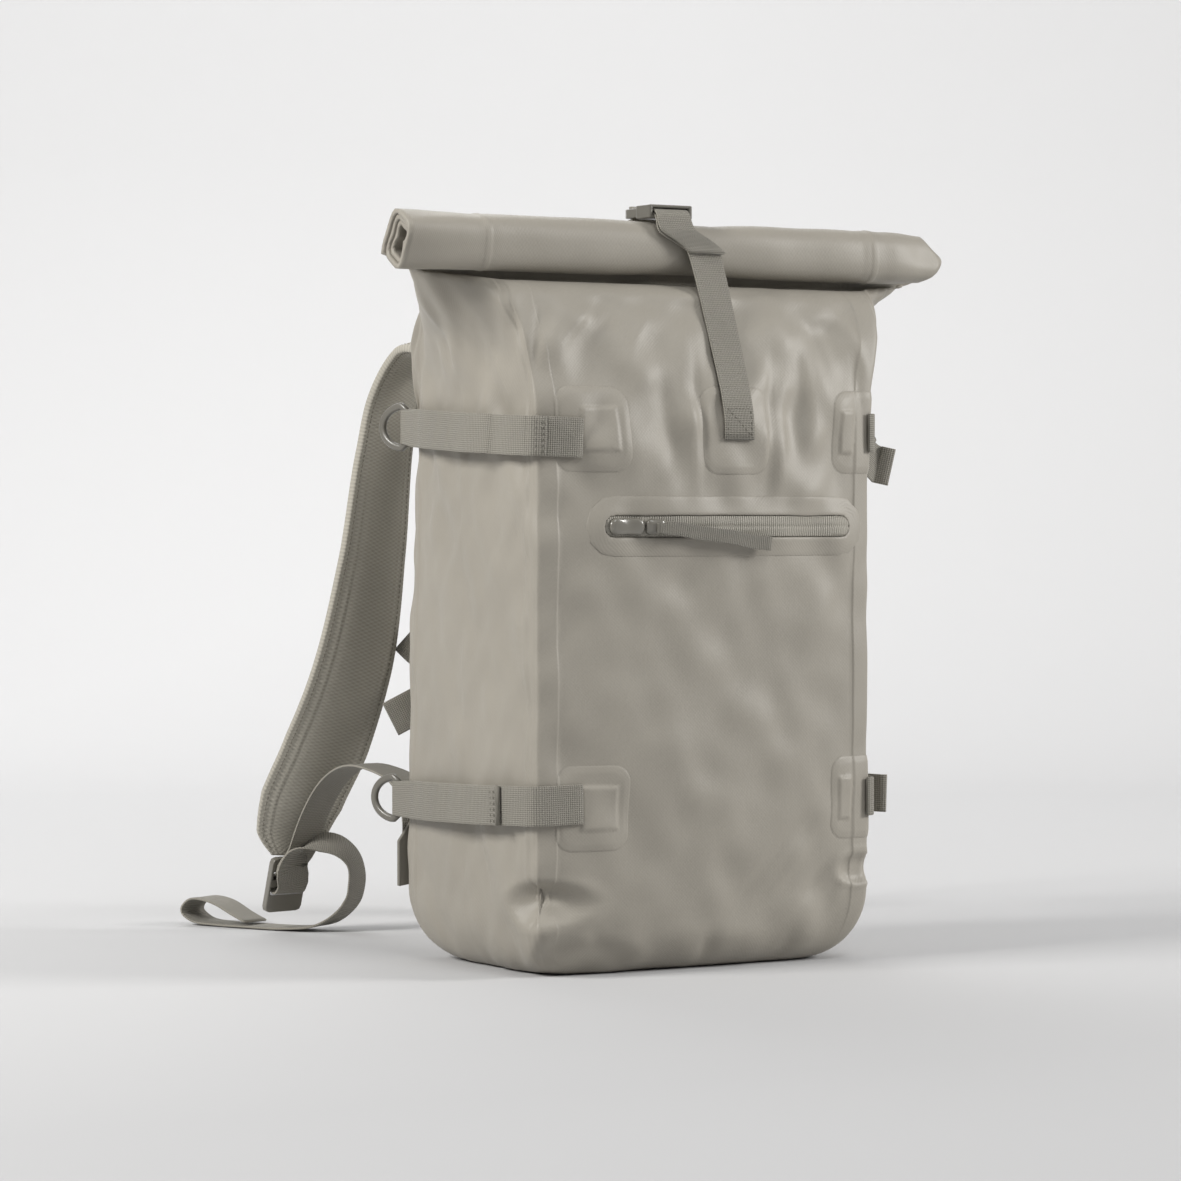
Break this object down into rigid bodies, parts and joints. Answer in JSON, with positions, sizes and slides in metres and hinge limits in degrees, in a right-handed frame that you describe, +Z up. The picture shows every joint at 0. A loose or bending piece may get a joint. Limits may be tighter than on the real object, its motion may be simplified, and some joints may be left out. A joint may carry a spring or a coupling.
{
  "type": "rolltop backpack",
  "caption": "Standing rolltop backpack of welded fabric with a rolled top, closing strap, zipped front pocket, side straps with D rings and padded shoulder straps.",
  "frame": {"origin": "on the floor under the middle of the base", "axes": "+Z up, the front panel faces -Y, +X to the right seen from the front"},
  "size_m": [0.411, 0.4633, 0.4912],
  "materials": {
    "coated_fabric": "satin, coated",
    "webbing": "matt, woven",
    "padding": "matt, woven face over foam",
    "moulded": "semi-gloss",
    "garage": "gloss"
  },
  "bodies": {
    "root": {"bag_body": "coated_fabric", "rolled_collar": "coated_fabric", "back_panel": "padding", "closure_patch": "coated_fabric", "side_patch_upper_left": "coated_fabric", "side_patch_lower_left": "coated_fabric", "side_patch_upper_right": "coated_fabric", "side_patch_lower_right": "coated_fabric", "side_strap_upper_left": "webbing", "side_strap_lower_left": "webbing", "side_strap_upper_right": "webbing", "side_strap_lower_right": "webbing", "d_ring_upper_left": "moulded", "d_ring_lower_left": "moulded", "d_ring_upper_right": "moulded", "d_ring_lower_right": "moulded", "zip_patch": "coated_fabric", "zip_tape": "webbing", "zip_garage": "garage", "zip_slider": "garage", "zip_pull": "webbing", "buckle_frame": "moulded", "buckle_hook": "moulded", "closure_strap": "webbing", "closure_strap_rear": "webbing", "shoulder_strap_left": "padding", "shoulder_strap_right": "padding", "adjuster_left": "moulded", "adjuster_right": "moulded", "lower_webbing_left": "webbing", "lower_webbing_right": "webbing", "sternum_strap_left": "webbing", "sternum_strap_right": "webbing", "sternum_tail": "webbing", "sternum_buckle": "moulded", "corner_wing_left": "webbing", "corner_wing_right": "webbing"}
  },
  "joints": []
}
